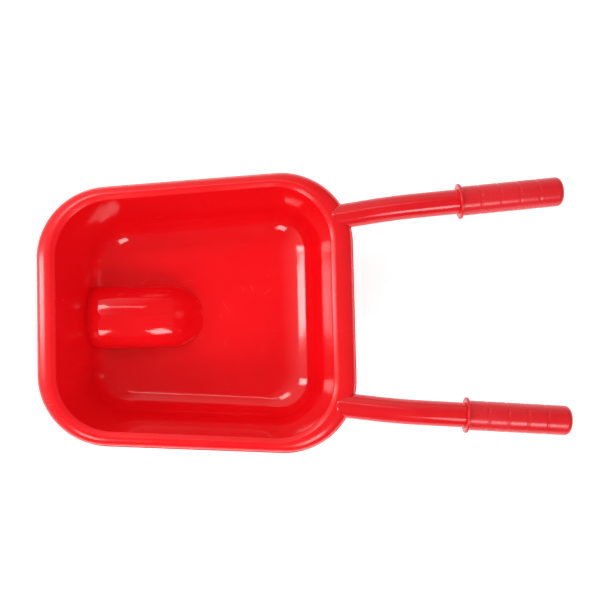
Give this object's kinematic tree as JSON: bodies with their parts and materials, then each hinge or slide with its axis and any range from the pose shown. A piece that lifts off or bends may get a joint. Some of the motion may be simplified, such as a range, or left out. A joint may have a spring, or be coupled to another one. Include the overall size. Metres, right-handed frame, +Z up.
{
  "type": "toy wheelbarrow",
  "caption": "Child's moulded plastic wheelbarrow: rounded tray with a hump over the wheel, two tubular handles with collared grips, a spinning wheel and braced legs.",
  "frame": {"origin": "on the ground, under the middle of the whole outline seen from above", "axes": "+Z up, +X from the wheel towards the grips, +Y towards the right hand of the child who pushes it"},
  "size_m": [0.6328, 0.3388, 0.2951],
  "materials": {
    "red_plastic": "glossy",
    "red_grip": "glossy",
    "tyre_rubber": "matte",
    "foot_rubber": "matte",
    "steel": "satin",
    "bush_plastic": "matte"
  },
  "bodies": {
    "barrow": {"tray": "red_plastic", "handle_left": "red_plastic", "handle_right": "red_plastic", "grip_left": "red_grip", "grip_right": "red_grip", "handle_screws": "steel", "fork_left": "red_plastic", "fork_right": "red_plastic", "leg_left": "red_plastic", "leg_right": "red_plastic", "leg_brace": "red_plastic", "foot_left": "foot_rubber", "foot_right": "foot_rubber", "frame_screws": "steel", "axle": "steel", "axle_caps": "bush_plastic", "washers": "steel"},
    "wheel": {"wheel_half_left": "red_plastic", "wheel_half_right": "red_plastic", "wheel_screws": "steel", "tyre": "tyre_rubber", "bush_left": "bush_plastic", "bush_right": "bush_plastic"}
  },
  "joints": [
    {"name": "wheel_spin", "type": "hinge", "parent": "barrow", "child": "wheel", "pos_m": [-0.22135, 0, 0.095], "axis": [0, 1, 0], "continuous": true}
  ]
}
